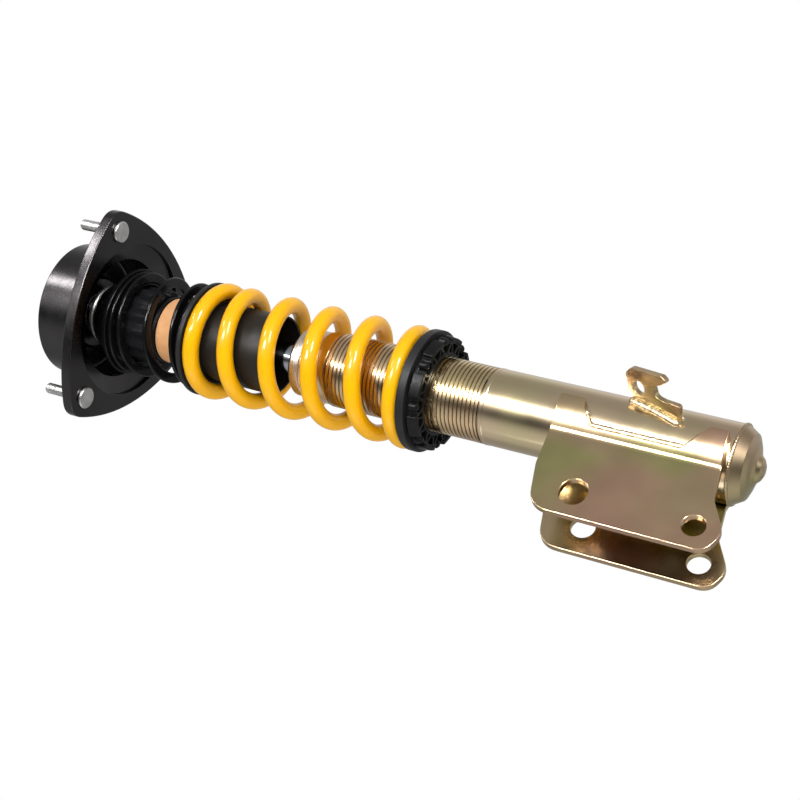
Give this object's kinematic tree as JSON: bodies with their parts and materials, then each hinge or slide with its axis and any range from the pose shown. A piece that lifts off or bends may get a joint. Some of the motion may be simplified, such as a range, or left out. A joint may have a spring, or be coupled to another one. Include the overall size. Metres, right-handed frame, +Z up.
{
  "type": "coilover strut",
  "caption": "MacPherson coilover strut: stud-mounted hub plate, helper and main coil springs, threaded damper tube with screw perch, clevis knuckle bracket and brake-hose tab.",
  "frame": {"origin": "on the strut's axis, level with the top mount's upper seating face", "axes": "+Z up along the strut's axis towards the top mount; the knuckle bracket opens towards -Y; the hose tab is on the +X side"},
  "size_m": [0.1525, 0.152, 0.5508],
  "materials": {
    "anodised": "dark anodised, satin",
    "steel": "plain zinc-plated steel",
    "black_gloss": "gloss black coating",
    "yellow_gloss": "gloss yellow powder coat",
    "composite": "moulded black composite",
    "ring_grey": "smooth dark grey",
    "foam": "closed-cell foam",
    "dust": "matte dark tube",
    "chrome": "hard chrome, ground",
    "nickel": "nickel plated, turned",
    "zinc": "yellow-passivated zinc plating",
    "rubber": "black rubber"
  },
  "bodies": {
    "mount": {"top_mount": "anodised", "stud_1": "steel", "stud_2": "steel", "stud_3": "steel", "bearing_race": "steel", "bearing_circlip": "steel"},
    "rod": {"bearing_ball": "chrome", "piston_rod": "chrome", "rod_spacer": "steel", "rod_nut": "steel", "piston": "steel", "piston_nut": "steel", "bump_cup": "composite", "bump_washer": "composite", "bump_stop": "foam", "dust_tube": "dust"},
    "seat": {"thrust_bearing": "steel", "upper_seat": "black_gloss", "helper_spring": "black_gloss"},
    "coupler": {"coupler_ring": "ring_grey", "main_spring": "yellow_gloss"},
    "strut": {"strut_tube": "zinc", "gland_nut": "nickel", "wiper_seal": "rubber", "rod_guide": "steel", "bottom_cap": "zinc", "bracket_left": "zinc", "bracket_right": "zinc", "hose_tab": "zinc"},
    "perch_ring": {"spring_seat": "ring_grey"},
    "perch": {"perch_nut": "composite"}
  },
  "joints": [
    {"name": "top_tilt", "type": "hinge", "parent": "mount", "child": "rod", "pos_m": [0, 0, 0.03], "axis": [1, 0, 0], "range_deg": [-5, 5]},
    {"name": "steer", "type": "hinge", "parent": "rod", "child": "seat", "pos_m": [0, 0, 0], "axis": [0, 0, 1], "range_deg": [-40, 40]},
    {"name": "travel", "type": "slide", "parent": "seat", "child": "strut", "axis": [0, 0, 1], "range_m": [0, 0.074], "stiffness_N_per_m": 40000, "deforming": ["main_spring", "helper_spring"]},
    {"name": "coupler_slide", "type": "slide", "parent": "seat", "child": "coupler", "axis": [0, 0, 1], "range_m": [0, 0.0297], "deforming": ["main_spring", "helper_spring"]},
    {"name": "perch_slide", "type": "slide", "parent": "strut", "child": "perch_ring", "axis": [0, 0, 1], "range_m": [-0.018, 0]},
    {"name": "perch_turn", "type": "hinge", "parent": "perch_ring", "child": "perch", "pos_m": [0, 0, 0], "axis": [0, 0, 1], "range_deg": [-2165, 0]}
  ],
  "couplings": [
    {"joint": "coupler_slide", "follows": "travel", "ratio": 0.4},
    {"joint": "perch_turn", "follows": "perch_slide", "rad_per_m": 2094.4}
  ]
}
